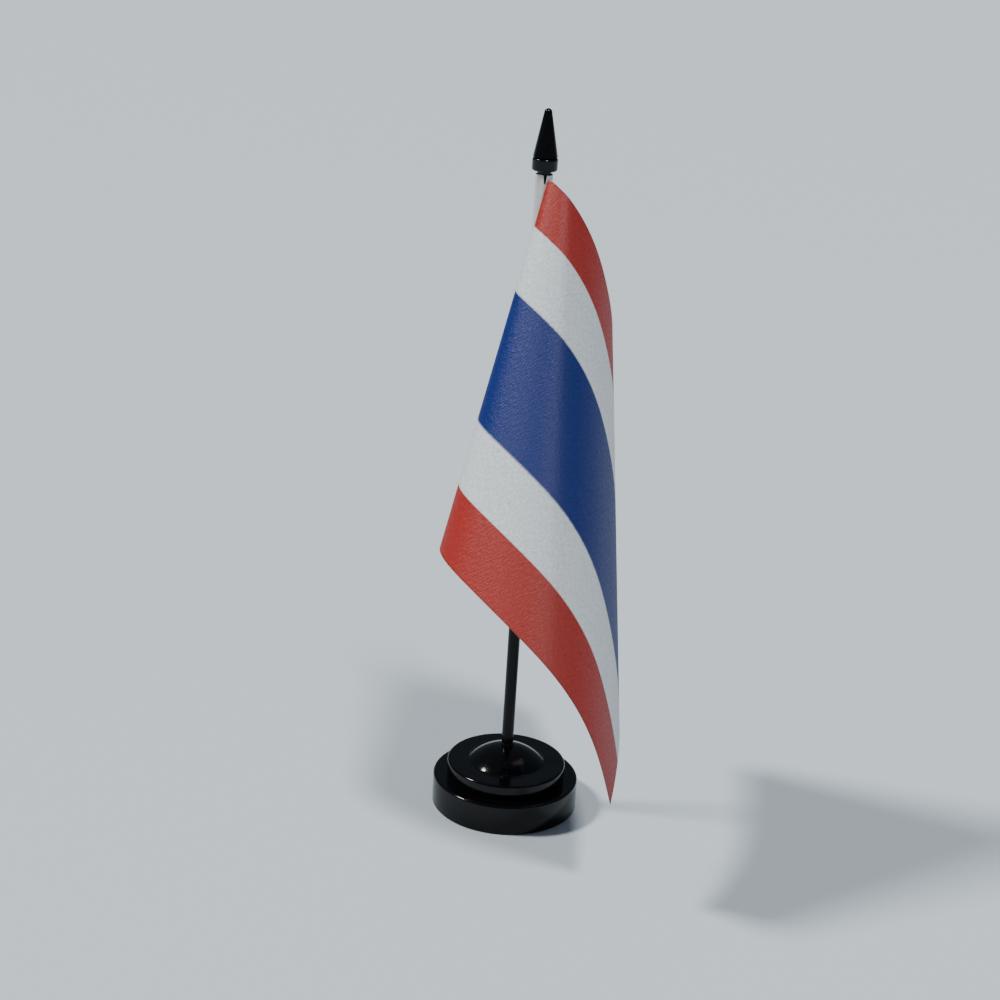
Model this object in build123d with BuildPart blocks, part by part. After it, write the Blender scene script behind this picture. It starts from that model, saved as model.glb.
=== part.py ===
"""Desk flag stand: a two-tier plastic base with a weight in it, a thin pole with a spear finial,
and a satin flag whose sleeve turns on the pole. Millimetres, +Z up, origin under the base's middle."""

from build123d import *
import math
import os

# Base, from the table upwards
base_radius = 31.3
lower_tier_top = 13.2
upper_tier_radius = 25.5
upper_tier_top = 19.8
dome_radius = 16.4
dome_rise = 6.6
wall = 2.0
rim_lift = 0.4
cavity_radius = base_radius - wall
upper_cavity_radius = upper_tier_radius - wall

# Socket in the middle of the base
pole_radius = 2.55
pole_bore = 1.55
socket_gap = 0.05
socket_radius = pole_radius + socket_gap
socket_floor = 5.0
boss_radius = 5.0

# Underside: pad, cover plate and its screws
pad_thickness = 1.2
pad_radius = 27.5
cover_thickness = 1.6
cover_radius = cavity_radius - 0.2
cover_top = pad_thickness + cover_thickness
screw_count = 3
screw_circle = 26.0
screw_radius = 1.1
screw_head_radius = 2.1
screw_length = 7.0
head_height = screw_head_radius - screw_radius
screw_gap = 0.03
post_radius = 2.5

# Weight between the cover and the top of the cavity
ballast_inner = 6.5
ballast_outer = 22.6
ballast_top = 15.5
ballast_relief = 1.0

# Pole and finial
pole_top = 276.0
neck_radius = 2.8
neck_height = 1.0
collar_radius = 5.1
collar_height = 5.0
groove_radius = 3.9
groove_height = 0.5
spear_radius = 4.95
spear_top = 301.3
spear_tip_radius = 1.6
spear_slope = math.radians(11.3)
stem_radius = 1.5
stem_length = 10.0

# Flag: cut size, the height of its top edge, and the way the cloth leaves the sleeve
flag_fly = 210.0
flag_hoist = 134.3
flag_top = 275.1
sleeve_top = 275.7
cloth_thickness = 0.8
sleeve_gap = 0.4
sleeve_wall = 0.4
sleeve_inner = pole_radius + sleeve_gap
sleeve_outer = sleeve_inner + sleeve_wall
seam_reach = 3.76
seam_angle = math.radians(-52.5)
leave_angle = math.radians(-120.6)

# The cloth is a flat sheet bent over straight fold lines that fan out from the top corner at the
# pole. A line starts at a distance along the top edge, ends at a distance along the bottom edge
# (counted on up the fly edge past the corner), and has its share of the turn in radians.
folds = [
    (0.3, 61, -3.23),
    (5.3, 98.5, -0.40),
    (15, 142, -1.19),
    (58, 198, -0.20),
    (83, 279, -0.70),
]
strips_per_fold = 8
last_step = (len(folds) - 1) * strips_per_fold


def turned(vector, axis, angle):
    """A vector turned about a unit axis."""
    return (
        vector * math.cos(angle)
        + axis.cross(vector) * math.sin(angle)
        + axis * (axis.dot(vector) * (1 - math.cos(angle)))
    )


def fold_line(step):
    """A fold line's two ends on the flat sheet (x along the fly, y down the hoist) and its turn."""
    index, part = divmod(step, strips_per_fold)
    share = part / strips_per_fold
    first, second = folds[index], folds[min(index + 1, len(folds) - 1)]
    start, end, turn = (p + (q - p) * share for p, q in zip(first, second))
    turn /= strips_per_fold
    if step in (0, last_step):
        turn /= 2
    if end <= flag_fly:
        return Vector(start, 0), Vector(end, flag_hoist), turn
    return Vector(start, 0), Vector(flag_fly, flag_hoist + flag_fly - end), turn


def hung(frame, flat):
    """Where a point of the flat sheet hangs, for the strip whose frame this is."""
    corner, along, down = frame
    return corner + along * flat.X + down * flat.Y


def closed_sheet():
    """The bent cloth as one closed solid, its panels mitred at half their thickness each side."""
    half = cloth_thickness / 2
    along = Vector(math.cos(leave_angle), math.sin(leave_angle), 0)
    seam = Vector(seam_reach * math.cos(seam_angle), seam_reach * math.sin(seam_angle), flag_top)
    frame = (seam, along, Vector(0, 0, -1))
    outward = along.cross(Vector(0, 0, -1))

    def both_sides(point, normal, reach=half):
        return point + normal * reach, point - normal * reach

    # The sheet's outline on both sides of each panel: its top corners, then its bottom corners
    tops = [both_sides(hung(frame, Vector(0, 0)), outward)]
    bottoms = [both_sides(hung(frame, Vector(0, flag_hoist)), outward)]
    panels = []
    previous_end = Vector(0, flag_hoist)
    for step in range(last_step + 1):
        start, end, angle = fold_line(step)
        foot, head = hung(frame, start), hung(frame, end)
        if previous_end.Y > flag_hoist - 0.01 and end.Y < flag_hoist - 0.01:
            bottoms.append(both_sides(hung(frame, Vector(flag_fly, flag_hoist)), outward))
        axis = (head - foot).normalized()
        mitre = turned(outward, axis, angle / 2)
        reach = half / math.cos(angle / 2)
        tops.append(both_sides(foot, mitre, reach))
        bottoms.append(both_sides(head, mitre, reach))
        panels.append((tops, bottoms))
        tops, bottoms = [tops[-1]], [bottoms[-1]]
        frame = (
            foot + turned(frame[0] - foot, axis, angle),
            turned(frame[1], axis, angle),
            turned(frame[2], axis, angle),
        )
        outward = turned(outward, axis, angle)
        previous_end = end
    tops.append(both_sides(hung(frame, Vector(flag_fly, 0)), outward))
    panels.append((tops, bottoms))

    faces = []
    for tops, bottoms in panels:
        outline = tops + bottoms[::-1]
        for side in range(2):
            faces.append(Face(Wire.make_polygon([pair[side] for pair in outline])))
        for edge in (tops, bottoms):
            for near, far in zip(edge, edge[1:]):
                faces.append(Face(Wire.make_polygon([near[0], far[0], near[1]])))
                faces.append(Face(Wire.make_polygon([far[0], far[1], near[1]])))
    hoist_top, hoist_bottom = panels[0][0][0], panels[0][1][0]
    fly_top, fly_end = panels[-1][0][-1], panels[-1][1][-1]
    for top, bottom in ((hoist_top, hoist_bottom), (fly_top, fly_end)):
        faces.append(Face(Wire.make_polygon([top[0], bottom[0], top[1]])))
        faces.append(Face(Wire.make_polygon([bottom[0], bottom[1], top[1]])))
    return Solid(Shell(faces))


os.makedirs("parts", exist_ok=True)

dome_sphere = (dome_radius**2 + dome_rise**2) / (2 * dome_rise)
dome_top = upper_tier_top + dome_rise

# Base moulding: both tiers, the dome, the socket boss and the screw posts, open underneath
with BuildPart() as base_shell:
    with BuildSketch(Plane.XZ):
        with BuildLine():
            Polyline(
                (0, dome_top),
                (0, 0.0),
                (base_radius, 0.0),
                (base_radius, lower_tier_top),
                (upper_tier_radius, lower_tier_top),
                (upper_tier_radius, upper_tier_top),
                (dome_radius, upper_tier_top),
            )
            RadiusArc((dome_radius, upper_tier_top), (0, dome_top), -dome_sphere)
        make_face()
    revolve(axis=Axis.Z)
    rims = base_shell.edges().filter_by(GeomType.CIRCLE)
    fillet(rims.filter_by(lambda e: abs(e.radius - base_radius) < 0.01 and e.center().Z > 1), 1.0)
    fillet(rims.filter_by(lambda e: abs(e.radius - upper_tier_radius) < 0.01 and e.center().Z > 15), 1.0)
    fillet(rims.filter_by(lambda e: abs(e.radius - dome_radius) < 0.01 and e.center().Z > 15), 1.2)
    with BuildSketch(Plane.XZ):
        with BuildLine():
            Polyline(
                (boss_radius, -1),
                (cavity_radius, -1),
                (cavity_radius, lower_tier_top - wall),
                (upper_cavity_radius, lower_tier_top - wall),
                (upper_cavity_radius, upper_tier_top - wall),
                (boss_radius, upper_tier_top - wall),
                close=True,
            )
        make_face()
    revolve(axis=Axis.Z, mode=Mode.SUBTRACT)
    with BuildSketch(Plane.XY.offset(cover_top)):
        with PolarLocations(screw_circle, screw_count, start_angle=90):
            Circle(post_radius)
    extrude(amount=lower_tier_top - wall / 2 - cover_top)
    with BuildSketch():
        Circle(base_radius + 1)
    extrude(amount=rim_lift, mode=Mode.SUBTRACT)
    with BuildSketch():
        Circle(boss_radius + 0.5)
    extrude(amount=cover_top, mode=Mode.SUBTRACT)
    with BuildSketch(Plane.XY.offset(socket_floor)):
        Circle(socket_radius)
    extrude(amount=dome_top, mode=Mode.SUBTRACT)
    with BuildSketch(Plane.XY.offset(cover_top)):
        with PolarLocations(screw_circle, screw_count, start_angle=90):
            Circle(screw_radius + screw_gap)
    extrude(amount=screw_length, mode=Mode.SUBTRACT)
base_shell.part.label = "base_shell"
export_step(base_shell.part, "parts/base_shell.step")

# Cast ring that weighs the base down, with a relieved top edge
with BuildPart() as ballast_ring:
    with BuildSketch(Plane.XY.offset(cover_top)):
        Circle(ballast_outer)
        Circle(ballast_inner, mode=Mode.SUBTRACT)
    extrude(amount=ballast_top - cover_top)
    chamfer(ballast_ring.edges().group_by(Axis.Z)[-1], ballast_relief)
ballast_ring.part.label = "ballast_ring"
export_step(ballast_ring.part, "parts/ballast_ring.step")

# Plate that closes the underside
with BuildPart() as bottom_cover:
    with BuildSketch(Plane.XY.offset(pad_thickness)):
        Circle(cover_radius)
    extrude(amount=cover_thickness)
    with PolarLocations(screw_circle, screw_count, start_angle=90):
        with Locations((0, 0, pad_thickness + head_height / 2)):
            Cone(screw_head_radius + 0.1, screw_radius + 0.1, head_height, mode=Mode.SUBTRACT)
        with Locations((0, 0, pad_thickness + cover_thickness / 2)):
            Cylinder(screw_radius + 0.1, cover_thickness, mode=Mode.SUBTRACT)
bottom_cover.part.label = "bottom_cover"
export_step(bottom_cover.part, "parts/bottom_cover.step")

# Countersunk screws through the cover into the posts
with BuildPart() as cover_screws:
    with PolarLocations(screw_circle, screw_count, start_angle=90):
        with Locations((0, 0, pad_thickness + head_height / 2)):
            Cone(screw_head_radius, screw_radius, head_height)
        with Locations((0, 0, pad_thickness + screw_length / 2)):
            Cylinder(screw_radius, screw_length)
        with Locations((0, 0, pad_thickness)):
            Box(0.5, 2.2, 1.2, mode=Mode.SUBTRACT)
            Box(2.2, 0.5, 1.2, mode=Mode.SUBTRACT)
cover_screws.part.label = "cover_screws"
export_step(cover_screws.part, "parts/cover_screws.step")

# Foam pad stuck under the cover, the face the stand rests on
with BuildPart() as grip_pad:
    with BuildSketch():
        Circle(pad_radius)
    extrude(amount=pad_thickness)
grip_pad.part.label = "grip_pad"
export_step(grip_pad.part, "parts/grip_pad.step")

# Thin tube pole, pushed into the socket
with BuildPart() as pole:
    with BuildSketch(Plane.XY.offset(socket_floor)):
        Circle(pole_radius)
        Circle(pole_bore, mode=Mode.SUBTRACT)
    extrude(amount=pole_top - socket_floor)
    chamfer(pole.edges().group_by(Axis.Z)[0], 0.3)
pole.part.label = "pole"
export_step(pole.part, "parts/pole.step")

# Spear finial: stem in the pole's bore, neck, collar, groove and cone with a round tip
collar_bottom = pole_top + neck_height
collar_top = collar_bottom + collar_height
spear_bottom = collar_top + groove_height
tip_height = spear_top - spear_tip_radius * (1 - math.sin(spear_slope))
tip_radius = spear_tip_radius * math.cos(spear_slope)
with BuildPart() as finial:
    with BuildSketch(Plane.XZ):
        with BuildLine():
            Polyline(
                (0, spear_top),
                (0, pole_top - stem_length),
                (stem_radius, pole_top - stem_length),
                (stem_radius, pole_top),
                (neck_radius, pole_top),
                (neck_radius, collar_bottom),
                (collar_radius, collar_bottom),
                (collar_radius, collar_top),
                (groove_radius, collar_top + groove_height / 2),
                (spear_radius, spear_bottom),
                (tip_radius, tip_height),
            )
            RadiusArc((tip_radius, tip_height), (0, spear_top), -spear_tip_radius)
        make_face()
    revolve(axis=Axis.Z)
    collar_rims = finial.edges().filter_by(GeomType.CIRCLE)
    fillet(collar_rims.filter_by(lambda e: abs(e.radius - collar_radius) < 0.01), 0.9)
finial.part.label = "finial"
export_step(finial.part, "parts/finial.step")

# Sleeve sewn round the pole, reaching a little above the cloth that is stitched to it
with BuildPart() as hoist_sleeve:
    with BuildSketch(Plane.XY.offset(flag_top - flag_hoist)):
        Circle(sleeve_outer)
        Circle(sleeve_inner, mode=Mode.SUBTRACT)
    extrude(amount=sleeve_top - flag_top + flag_hoist)
hoist_sleeve.part.label = "hoist_sleeve"
export_step(hoist_sleeve.part, "parts/hoist_sleeve.step")

# Flag cloth: one sheet that keeps its flat size, hanging in a fan of folds from its top corner
with BuildPart() as flag_cloth:
    add(closed_sheet())
flag_cloth.part.label = "flag_cloth"
export_step(flag_cloth.part, "parts/flag_cloth.step")
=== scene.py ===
import math

import bpy
from mathutils import Matrix, Vector


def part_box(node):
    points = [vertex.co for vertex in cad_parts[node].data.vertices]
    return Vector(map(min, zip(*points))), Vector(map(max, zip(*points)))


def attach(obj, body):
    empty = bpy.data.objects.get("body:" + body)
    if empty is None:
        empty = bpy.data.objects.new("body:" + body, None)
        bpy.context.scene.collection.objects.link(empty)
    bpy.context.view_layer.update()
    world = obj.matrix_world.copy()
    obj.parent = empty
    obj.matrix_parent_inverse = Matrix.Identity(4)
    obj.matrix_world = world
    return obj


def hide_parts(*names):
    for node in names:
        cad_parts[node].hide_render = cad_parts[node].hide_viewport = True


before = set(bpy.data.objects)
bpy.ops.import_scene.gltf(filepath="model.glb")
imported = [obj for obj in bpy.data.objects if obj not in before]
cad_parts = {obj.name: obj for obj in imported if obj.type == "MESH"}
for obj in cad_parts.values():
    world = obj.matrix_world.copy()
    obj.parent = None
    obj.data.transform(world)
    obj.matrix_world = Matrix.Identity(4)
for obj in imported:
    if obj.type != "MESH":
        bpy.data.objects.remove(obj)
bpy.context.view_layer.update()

MM = 0.001

# Camera ----------------------------------------------------------------------------------------
# A long lens looking down on the stand from in front, held a little off level.

camera_place = Vector((0.0, -0.792, 0.427))
camera_pan = math.radians(-0.69)
camera_tilt = math.radians(19.98)
camera_roll = math.radians(3.49)

bpy.ops.object.camera_add(location=camera_place)
camera = bpy.context.object
camera.name = "studio_camera"
camera.data.sensor_width = 36.0
camera.data.lens = 73.26
camera.data.clip_start = 0.01
aim = Matrix.Rotation(-camera_pan, 4, "Z") @ Matrix.Rotation(math.pi / 2 - camera_tilt, 4, "X")
camera.matrix_world = Matrix.Translation(camera_place) @ aim @ Matrix.Rotation(camera_roll, 4, "Z")
bpy.context.scene.camera = camera

# Floor and light -------------------------------------------------------------------------------
# A wide sheet of pale card under the stand, with a big far key light high on the left and a dimmer
# one high in front on the right. Both light the card evenly and leave soft shadows.


def new_material(name):
    """A node material with its shader, ready for its colour and bump."""
    made = bpy.data.materials.new(name)
    made.use_nodes = True
    nodes = made.node_tree.nodes
    nodes.clear()
    shader = nodes.new("ShaderNodeBsdfPrincipled")
    output = nodes.new("ShaderNodeOutputMaterial")
    made.node_tree.links.new(shader.outputs["BSDF"], output.inputs["Surface"])
    return made, made.node_tree, shader


def node(tree, kind, inputs=None, **settings):
    """One shader node with its settings and its plain or linked inputs."""
    made = tree.nodes.new(kind)
    for key, value in settings.items():
        setattr(made, key, value)
    for key, value in (inputs or {}).items():
        if isinstance(value, bpy.types.NodeSocket):
            tree.links.new(value, made.inputs[key])
        else:
            made.inputs[key].default_value = value
    return made


def math_node(tree, operation, *values):
    """The result of one sum on numbers or sockets."""
    return node(tree, "ShaderNodeMath", dict(enumerate(values)), operation=operation).outputs[0]


def ramp(tree, factor, stops):
    """A colour ramp over a factor, from (place, colour) stops."""
    made = node(tree, "ShaderNodeValToRGB", {"Fac": factor})
    elements = made.color_ramp.elements
    for place, colour in stops[2:]:
        elements.new(place)
    for element, (place, colour) in zip(elements, stops):
        element.position = place
        element.color = (*colour, 1.0)
    return made.outputs["Color"]


def remap(tree, value, start, end):
    """A value carried from one (low, high) range to another, held at its ends."""
    made = node(
        tree, "ShaderNodeMapRange",
        {"Value": value, "From Min": start[0], "From Max": start[1], "To Min": end[0], "To Max": end[1]},
    )
    return made.outputs["Result"]


def streaks(tree, place, scale, detail):
    """Noise that is drawn out along an axis by a different scale each way."""
    squeezed = node(tree, "ShaderNodeMapping", {"Vector": place, "Scale": scale}).outputs["Vector"]
    made = node(tree, "ShaderNodeTexNoise", {"Vector": squeezed, "Scale": 1.0, "Detail": detail})
    return made.outputs["Fac"]


def bump(tree, height, strength, distance, **under):
    """The surface direction given by a height, over any bump under it."""
    made = node(
        tree, "ShaderNodeBump",
        {"Height": height, "Strength": strength, "Distance": distance, **under},
    )
    return made.outputs["Normal"]


bpy.ops.object.select_all(action="DESELECT")
bpy.ops.mesh.primitive_plane_add(size=30.0, location=(0, 0, 0))
floor = bpy.context.object
floor.name = "pale_floor"
card, tree, shader = new_material("pale_card")
place = node(tree, "ShaderNodeTexCoord").outputs["Object"]
fibres = node(tree, "ShaderNodeTexNoise", {"Vector": place, "Scale": 900.0, "Detail": 3.0})
shader.inputs["Roughness"].default_value = 0.75
shader.inputs["Specular IOR Level"].default_value = 0.25
tree.links.new(
    ramp(tree, fibres.outputs["Fac"], [(0.3, (0.52, 0.59, 0.65)), (0.7, (0.56, 0.63, 0.69))]),
    shader.inputs["Base Color"],
)
floor.data.materials.append(card)


def soft_light(name, towards, spread, strength, tint):
    """A far, broad studio light that shines on the stand from a direction."""
    bpy.ops.object.light_add(type="SUN", location=Vector(towards))
    lamp = bpy.context.object
    lamp.name = name
    lamp.data.angle = math.radians(spread)
    lamp.data.energy = strength
    lamp.data.color = tint
    lamp.rotation_mode = "QUATERNION"
    lamp.rotation_quaternion = (-Vector(towards)).to_track_quat("-Z", "Y")
    return lamp


soft_light("key_light", (-1.26, -0.02, 1.38), 9.0, 3.3, (1.0, 0.98, 0.95))
soft_light("second_light", (0.42, -0.92, 1.83), 8.0, 2.2, (1.0, 0.99, 0.97))

world = bpy.data.worlds.new("studio_air")
bpy.context.scene.world = world
world.use_nodes = True
world.node_tree.nodes["Background"].inputs["Color"].default_value = (0.66, 0.80, 0.94, 1.0)
world.node_tree.nodes["Background"].inputs["Strength"].default_value = 0.17

# Base moulding ---------------------------------------------------------------------------------
# Two-tier round base with a low dome, moulded in one shot of high-gloss black plastic. The tiers'
# rims are rounded and polished, with faint flow marks and handling scuffs.


def gloss_black(name, roughness, flow_scale, scuff_scale):
    """Polished black plastic: nearly mirror smooth, with slow flow waves and fine scuffs."""
    made, tree, shader = new_material(name)
    place = node(tree, "ShaderNodeTexCoord").outputs["Object"]
    flow = node(tree, "ShaderNodeTexNoise", {"Vector": place, "Scale": flow_scale, "Detail": 2.0})
    scuffs = node(
        tree, "ShaderNodeTexNoise",
        {"Vector": place, "Scale": scuff_scale, "Detail": 8.0, "Roughness": 0.75},
    )
    haze = remap(tree, scuffs.outputs["Fac"], (0.35, 0.75), (roughness * 0.7, roughness * 1.9))
    tree.links.new(haze, shader.inputs["Roughness"])
    colour = ramp(
        tree, scuffs.outputs["Fac"],
        [(0.45, (0.0016, 0.0017, 0.0021)), (0.80, (0.005, 0.0052, 0.006))],
    )
    tree.links.new(colour, shader.inputs["Base Color"])
    waves = bump(tree, flow.outputs["Fac"], 0.06, 0.6 * MM)
    tree.links.new(bump(tree, scuffs.outputs["Fac"], 0.02, 0.2 * MM, Normal=waves), shader.inputs["Normal"])
    shader.inputs["Specular IOR Level"].default_value = 0.24
    return made


def finish_node(name, material):
    """Gives a CAD part its material in place of the plain one it came with."""
    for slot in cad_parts[name].material_slots:
        slot.material = material


finish_node("base_shell", gloss_black("base_gloss_black", 0.10, 60.0, 700.0))

# Weight ring -----------------------------------------------------------------------------------
# A cast iron ring held between the cover and the shell, rough from the sand mould and dipped in
# thin black paint.

cast, tree, shader = new_material("cast_iron_dipped")
place = node(tree, "ShaderNodeTexCoord").outputs["Object"]
sand = node(tree, "ShaderNodeTexNoise", {"Vector": place, "Scale": 1400.0, "Detail": 6.0})
pits = node(tree, "ShaderNodeTexVoronoi", {"Vector": place, "Scale": 420.0})
tree.links.new(
    ramp(tree, sand.outputs["Fac"], [(0.3, (0.03, 0.03, 0.032)), (0.7, (0.10, 0.10, 0.105))]),
    shader.inputs["Base Color"],
)
shader.inputs["Metallic"].default_value = 0.7
shader.inputs["Roughness"].default_value = 0.62
rough = bump(tree, sand.outputs["Fac"], 0.6, 0.2 * MM)
tree.links.new(bump(tree, pits.outputs["Distance"], 0.3, 0.2 * MM, Normal=rough), shader.inputs["Normal"])
finish_node("ballast_ring", cast)

# Bottom cover ----------------------------------------------------------------------------------
# A flat plate pressed up inside the rim, in matte black plastic with a spark-eroded grain.

matte, tree, shader = new_material("cover_matte_black")
place = node(tree, "ShaderNodeTexCoord").outputs["Object"]
eroded = node(tree, "ShaderNodeTexNoise", {"Vector": place, "Scale": 2600.0, "Detail": 4.0})
tree.links.new(
    ramp(tree, eroded.outputs["Fac"], [(0.3, (0.014, 0.014, 0.015)), (0.7, (0.026, 0.026, 0.028))]),
    shader.inputs["Base Color"],
)
shader.inputs["Roughness"].default_value = 0.6
tree.links.new(bump(tree, eroded.outputs["Fac"], 0.4, 0.1 * MM), shader.inputs["Normal"])
finish_node("bottom_cover", matte)

# Cover screws ----------------------------------------------------------------------------------
# Small countersunk self-tapping screws through the cover, zinc plated.

zinc, tree, shader = new_material("screw_zinc")
place = node(tree, "ShaderNodeTexCoord").outputs["Object"]
turned = node(tree, "ShaderNodeTexNoise", {"Vector": place, "Scale": 3000.0, "Detail": 3.0})
tree.links.new(
    ramp(tree, turned.outputs["Fac"], [(0.3, (0.42, 0.42, 0.44)), (0.7, (0.60, 0.60, 0.60))]),
    shader.inputs["Base Color"],
)
shader.inputs["Metallic"].default_value = 1.0
shader.inputs["Roughness"].default_value = 0.32
finish_node("cover_screws", zinc)

# Grip pad --------------------------------------------------------------------------------------
# A disc of black closed-cell foam with its skin cut away, stuck over the screws.

foam, tree, shader = new_material("pad_foam")
place = node(tree, "ShaderNodeTexCoord").outputs["Object"]
cells = node(tree, "ShaderNodeTexVoronoi", {"Vector": place, "Scale": 1500.0})
tree.links.new(
    ramp(tree, cells.outputs["Distance"], [(0.0, (0.012, 0.012, 0.013)), (0.6, (0.035, 0.035, 0.037))]),
    shader.inputs["Base Color"],
)
shader.inputs["Roughness"].default_value = 0.9
tree.links.new(bump(tree, cells.outputs["Distance"], 0.5, 0.2 * MM), shader.inputs["Normal"])
finish_node("grip_pad", foam)

# Pole ------------------------------------------------------------------------------------------
# A thin extruded tube in the same gloss black, pushed into the dome. Extrusion leaves very fine
# lines along it.

pole_black, tree, shader = new_material("pole_gloss_black")
place = node(tree, "ShaderNodeTexCoord").outputs["Object"]
lines = streaks(tree, place, (2400.0, 2400.0, 12.0), 3.0)
tree.links.new(remap(tree, lines, (0.3, 0.7), (0.10, 0.24)), shader.inputs["Roughness"])
tree.links.new(
    ramp(tree, lines, [(0.3, (0.0016, 0.0017, 0.0021)), (0.7, (0.004, 0.0042, 0.005))]),
    shader.inputs["Base Color"],
)
tree.links.new(bump(tree, lines, 0.15, 0.1 * MM), shader.inputs["Normal"])
shader.inputs["Specular IOR Level"].default_value = 0.16
finish_node("pole", pole_black)

# Finial ----------------------------------------------------------------------------------------
# A spear point with a grooved collar, moulded in gloss black, its stem pushed into the pole.

finish_node("finial", gloss_black("finial_gloss_black", 0.15, 160.0, 1100.0))

# Sleeve ----------------------------------------------------------------------------------------
# A strip of white satin wrapped round the pole and sewn shut down its front, where the flag's
# cloth is caught in the seam. Its lapped edges part at the top and leave a small open slit.

sleeve_low, sleeve_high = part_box("hoist_sleeve")
sleeve_radius = 3.15 * MM
satin_wall = 0.20 * MM
seam_angle = math.radians(-52.5)
seam_pinch = 0.55 * MM
crease_height = 0.07 * MM
crease_waves = (190.0, 310.0)
slit_angle = math.radians(-82.5)
slit_depth = 3.6 * MM
slit_foot = sleeve_high.z - slit_depth
slit_half_turn = math.radians(9.0)
slit_lift = 0.22 * MM
lap_hollow = 0.40 * MM
lap_run = 16.0 * MM
around = 72
up_steps = 134

# How far each shape fades round the pole, and how far the hollow lies past the slit, in radians
pinch_fade = 0.30
lift_fade = 0.50
parting_fade = 0.35
hollow_fade = 0.34
hollow_offset = 0.62


def linen_white(name, base):
    """White satin with floats along the weave and a soft sheen."""
    made, tree, shader = new_material(name)
    place = node(tree, "ShaderNodeTexCoord").outputs["Object"]
    floats = streaks(tree, place, (2600.0, 2600.0, 600.0), 2.0)
    low = tuple(0.86 * part for part in base)
    tree.links.new(ramp(tree, floats, [(0.3, low), (0.7, base)]), shader.inputs["Base Color"])
    tree.links.new(bump(tree, floats, 0.5, 0.1 * MM), shader.inputs["Normal"])
    shader.inputs["Roughness"].default_value = 0.5
    shader.inputs["Sheen Weight"].default_value = 0.10
    return made


bpy.ops.object.select_all(action="DESELECT")
bpy.ops.mesh.primitive_cylinder_add(
    vertices=around, radius=sleeve_radius, depth=sleeve_high.z - sleeve_low.z, end_fill_type="NOTHING",
    location=(0, 0, (sleeve_low.z + sleeve_high.z) / 2),
)
sleeve = bpy.context.object
sleeve.name = "sleeve_satin"
bpy.ops.object.transform_apply(location=True)
bpy.ops.object.mode_set(mode="EDIT")
bpy.ops.mesh.select_all(action="SELECT")
bpy.ops.mesh.bisect(plane_co=(0, 0, slit_foot), plane_no=(0, 0, 1))
for step in range(1, up_steps):
    height = sleeve_low.z + (sleeve_high.z - sleeve_low.z) * step / up_steps
    bpy.ops.mesh.select_all(action="SELECT")
    bpy.ops.mesh.bisect(plane_co=(0, 0, height), plane_no=(0, 0, 1))
bpy.ops.object.mode_set(mode="OBJECT")


def turn_between(place, angle):
    """How far round the pole a place is from an angle, in radians either way."""
    return (math.atan2(place.y, place.x) - angle + math.pi) % (2 * math.pi) - math.pi


def hump(distance, fade):
    """A smooth rise that is one in the middle and dies away over a distance."""
    return math.exp(-((distance / fade) ** 2))


# The slit is one column of faces taken out, and its two sides parted
half_column = math.pi / around
bpy.ops.object.mode_set(mode="EDIT")
bpy.ops.mesh.select_all(action="DESELECT")
bpy.ops.object.mode_set(mode="OBJECT")
for face in sleeve.data.polygons:
    in_column = abs(turn_between(face.center, slit_angle)) < half_column
    face.select = in_column and face.center.z > slit_foot
bpy.ops.object.mode_set(mode="EDIT")
bpy.ops.mesh.delete(type="FACE")
bpy.ops.object.mode_set(mode="OBJECT")
for vertex in sleeve.data.vertices:
    height = vertex.co.z
    from_seam = turn_between(vertex.co, seam_angle)
    from_slit = turn_between(vertex.co, slit_angle)
    opened = max(0.0, height - slit_foot) / slit_depth
    pinch = seam_pinch * hump(from_seam, pinch_fade)
    slow, quick = (wave * height for wave in crease_waves)
    creases = crease_height * math.sin(3 * from_seam + slow) * math.sin(quick + from_seam)
    lifted = slit_lift * opened * hump(from_slit, lift_fade)
    hollow = lap_hollow * hump(from_slit + hollow_offset, hollow_fade) * hump(sleeve_high.z - height, lap_run)
    reach = (sleeve_radius + pinch + creases + lifted - hollow) / sleeve_radius
    vertex.co.x *= reach
    vertex.co.y *= reach
    parting = slit_half_turn * math.sqrt(opened) * math.exp(-abs(from_slit) / parting_fade)
    if parting > 0:
        vertex.co = Matrix.Rotation(math.copysign(parting, from_slit), 3, "Z") @ vertex.co
thickness = sleeve.modifiers.new("cloth", "SOLIDIFY")
thickness.thickness = satin_wall
thickness.offset = 1.0
bpy.ops.object.modifier_apply(modifier="cloth")
bpy.ops.object.shade_smooth_by_angle(angle=math.radians(40))
sleeve.data.materials.append(linen_white("sleeve_white_satin", (0.60, 0.60, 0.59)))
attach(sleeve, "flag")
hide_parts("hoist_sleeve")

# Flag cloth ------------------------------------------------------------------------------------
# A light printed satin, cut hot so that its edges need no hem. It hangs from the seam in a fan of
# soft folds that run down from its top edge, so it bends without stretching anywhere.

flag_fly = 210.0 * MM
flag_hoist = 134.3 * MM
flag_top = 275.1 * MM
seam_reach = 3.62 * MM
leave_angle = math.radians(-120.6)
cloth_wall = 0.20 * MM

# The corner beside the seam is cut away on a slant, this far down and this far along
corner_trim_drop = 2.6 * MM
corner_trim_run = 5.0 * MM

# Each fold line on the flat cloth: where it starts along the top edge, where it ends along the
# bottom edge (counted on up the fly edge), in millimetres, and how hard the cloth turns there, in
# radians over the stretch to the next line. The strips between two lines change evenly.
folds = [
    (0.3, 61, -3.23),
    (5.3, 98.5, -0.40),
    (15, 142, -1.19),
    (58, 198, -0.20),
    (83, 279, -0.70),
]
strips_per_fold = 24
cloth_columns = 210
cloth_rows = 134


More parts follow.
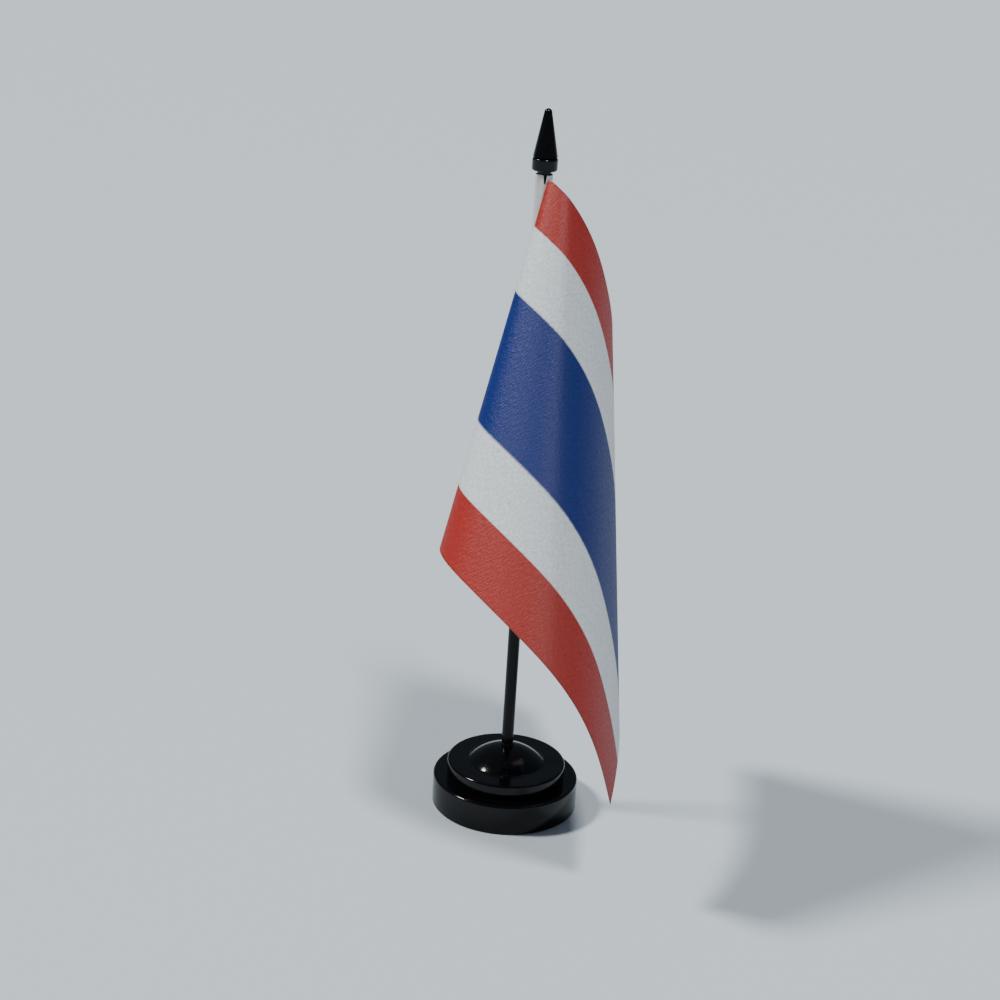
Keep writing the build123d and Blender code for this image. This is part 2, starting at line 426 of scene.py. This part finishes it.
def fold_strips():
    """For each strip between fold lines: the line on the flat cloth and the cloth's frame there."""
    along = Vector((math.cos(leave_angle), math.sin(leave_angle), 0))
    down = Vector((0, 0, -1))
    corner = Vector((seam_reach * math.cos(seam_angle), seam_reach * math.sin(seam_angle), flag_top))
    found = [((0.0, 0.0), (0.0, 0.0), corner, along, down)]
    last_step = (len(folds) - 1) * strips_per_fold
    for step in range(last_step + 1):
        index, part = divmod(step, strips_per_fold)
        share = part / strips_per_fold
        first, second = folds[index], folds[min(index + 1, len(folds) - 1)]
        start, end, turn = (p + (q - p) * share for p, q in zip(first, second))
        if step in (0, last_step):
            turn /= 2
        foot_u, head_u, head_v = start * MM, end * MM, flag_hoist
        if head_u > flag_fly:
            head_u, head_v = flag_fly, flag_hoist + flag_fly - head_u
        foot = corner + along * foot_u
        axis = (along * (head_u - foot_u) + down * head_v).normalized()
        spin = Matrix.Rotation(turn / strips_per_fold, 3, axis)
        along, down = spin @ along, spin @ down
        corner = foot + spin @ (corner - foot)
        found.append(((foot_u, 0.0), (head_u - foot_u, head_v), corner, along, down))
    return found


strips = fold_strips()


def hang(u, v):
    """Where the flat cloth's point u along the fly and v down the hoist hangs."""
    low, high = 0, len(strips) - 1
    while low < high:
        middle = (low + high + 1) // 2
        (foot_u, foot_v), (run_u, run_v), _, _, _ = strips[middle]
        if run_u * (v - foot_v) - run_v * (u - foot_u) < 0:
            low = middle
        else:
            high = middle - 1
    _, _, corner, along, down = strips[low]
    return corner + along * u + down * v


bpy.ops.object.select_all(action="DESELECT")
bpy.ops.mesh.primitive_grid_add(x_subdivisions=cloth_columns, y_subdivisions=cloth_rows, size=1.0)
cloth = bpy.context.object
cloth.name = "flag_satin"
flat_map = cloth.data.uv_layers.active or cloth.data.uv_layers.new(name="flat_cloth")
flat_map.name = "flat_cloth"
flat_place = []
for vertex in cloth.data.vertices:
    u = (vertex.co.x + 0.5) * flag_fly
    v = (0.5 - vertex.co.y) * flag_hoist
    v = max(v, corner_trim_drop * (1.0 - u / corner_trim_run))
    flat_place.append((u, v))
for loop in cloth.data.loops:
    flat_map.data[loop.index].uv = flat_place[loop.vertex_index]
for vertex, (u, v) in zip(cloth.data.vertices, flat_place):
    vertex.co = hang(u, v)
thickness = cloth.modifiers.new("cloth", "SOLIDIFY")
thickness.thickness = cloth_wall
thickness.offset = 0.0
bpy.ops.object.modifier_apply(modifier="cloth")
bpy.ops.object.shade_smooth_by_angle(angle=math.radians(40))

# Stripes of 1, 1, 2, 1 and 1 sixths of the full hoist, less a strip lost along the top
full_hoist = 140.0 * MM
stripe_edges = [full_hoist * sixths / 6 for sixths in (1, 2, 4, 5)]
lost_top = full_hoist - flag_hoist
dye_bleed = 0.4 * MM
border_share = 0.0006
sealed_edge = 0.7 * MM
dye_red = (0.32, 0.022, 0.017)
dye_white = (0.64, 0.68, 0.71)
dye_blue = (0.003, 0.016, 0.140)

satin, tree, shader = new_material("flag_printed_satin")
flat = node(tree, "ShaderNodeUVMap", uv_map="flat_cloth").outputs["UV"]
split = node(tree, "ShaderNodeSeparateXYZ", {"Vector": flat})
wander = node(tree, "ShaderNodeTexNoise", {"Vector": flat, "Scale": 900.0, "Detail": 2.0})
bleed = math_node(tree, "MULTIPLY", math_node(tree, "SUBTRACT", wander.outputs["Fac"], 0.5), dye_bleed)
drop = math_node(tree, "DIVIDE", math_node(tree, "ADD", split.outputs["Y"], bleed), flag_hoist)
stops = [(0.0, dye_red)]
for edge, colour in zip(stripe_edges, (dye_white, dye_blue, dye_white, dye_red)):
    share = (edge - lost_top) / flag_hoist
    stops += [(share - border_share, stops[-1][1]), (share + border_share, colour)]
stripes = ramp(tree, drop, stops)

# The weave is a share each of long floats, the picks that cross them, and thicker slubs
floats = math_node(tree, "MULTIPLY", streaks(tree, flat, (3000.0, 540.0, 1.0), 3.0), 0.44)
picks = math_node(tree, "MULTIPLY", streaks(tree, flat, (620.0, 2600.0, 1.0), 1.0), 0.18)
slubs = math_node(tree, "MULTIPLY", streaks(tree, flat, (1900.0, 450.0, 1.0), 2.0), 0.38)
weave = math_node(tree, "ADD", slubs, math_node(tree, "ADD", floats, picks))
weave_range = (0.38, 0.62)
shade = remap(tree, weave, weave_range, (0.78, 1.16))
to_side = math_node(
    tree, "MINIMUM", split.outputs["X"], math_node(tree, "SUBTRACT", flag_fly, split.outputs["X"]),
)
to_end = math_node(
    tree, "MINIMUM", split.outputs["Y"], math_node(tree, "SUBTRACT", flag_hoist, split.outputs["Y"]),
)
to_edge = math_node(tree, "MINIMUM", to_side, to_end)
sealed = remap(tree, to_edge, (0.0, sealed_edge), (0.62, 1.0))
depth = math_node(tree, "MULTIPLY", shade, sealed)
grey = node(tree, "ShaderNodeCombineXYZ", {"X": depth, "Y": depth, "Z": depth}).outputs["Vector"]
dyed = node(tree, "ShaderNodeVectorMath", {0: stripes, 1: grey}, operation="MULTIPLY")
tree.links.new(dyed.outputs["Vector"], shader.inputs["Base Color"])
tree.links.new(remap(tree, weave, weave_range, (0.56, 0.40)), shader.inputs["Roughness"])
tree.links.new(bump(tree, weave, 1.0, 0.42 * MM), shader.inputs["Normal"])
shader.inputs["Specular IOR Level"].default_value = 0.40
shader.inputs["Anisotropic"].default_value = 0.75
across = node(tree, "ShaderNodeTangent", direction_type="UV_MAP", uv_map="flat_cloth")
tree.links.new(across.outputs["Tangent"], shader.inputs["Tangent"])
cloth.data.materials.append(satin)
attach(cloth, "flag")
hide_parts("flag_cloth")

# Stitching -------------------------------------------------------------------------------------
# One row of white lockstitch down the seam, through the sleeve's two layers and the cloth's edge,
# with a stitch every two and a half millimetres on both faces.

stitch_pitch = 2.5 * MM
stitch_length = 2.1 * MM
thread_radius = 0.16 * MM
seam_line = 1.6 * MM
first_stitch = 3.5 * MM
stitch_count = int((flag_hoist - 4.0 * MM) / stitch_pitch)
stitches = []
_, _, _, seam_along, seam_down = strips[0]
seam_side = seam_along.cross(seam_down)
for side in (-1.0, 1.0):
    for index in range(stitch_count):
        middle = hang(seam_line, first_stitch + stitch_pitch * index)
        bpy.ops.mesh.primitive_uv_sphere_add(segments=8, ring_count=6, radius=1.0)
        stitch = bpy.context.object
        stitch.scale = (thread_radius, thread_radius * 0.8, stitch_length / 2)
        stitch.location = middle + seam_side * side * (cloth_wall / 2 + thread_radius * 0.3)
        bpy.ops.object.transform_apply(location=True, rotation=True, scale=True)
        stitches.append(stitch)

# The thread's cut end, left loose over the top of the seam, with its bends in millimetres
bpy.ops.curve.primitive_nurbs_path_add()
loose_end = bpy.context.object
trail = [(3.1, -2.5, 275.2), (2.7, -3.5, 275.3), (2.0, -4.0, 274.7), (1.4, -4.1, 273.9), (1.0, -3.8, 273.1)]
for point, spot in zip(loose_end.data.splines[0].points, trail):
    point.co = (*(Vector(spot) * MM), 1.0)
loose_end.data.bevel_depth = thread_radius * 0.8
loose_end.data.bevel_resolution = 2
loose_end.data.use_fill_caps = True
bpy.ops.object.convert(target="MESH")
stitches.append(loose_end)
bpy.ops.object.select_all(action="DESELECT")
for stitch in stitches:
    stitch.select_set(True)
bpy.context.view_layer.objects.active = stitches[0]
bpy.ops.object.join()
seam = bpy.context.object
seam.name = "seam_stitches"
bpy.ops.object.shade_smooth()
seam.data.materials.append(linen_white("thread_white", (0.66, 0.66, 0.66)))
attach(seam, "flag")
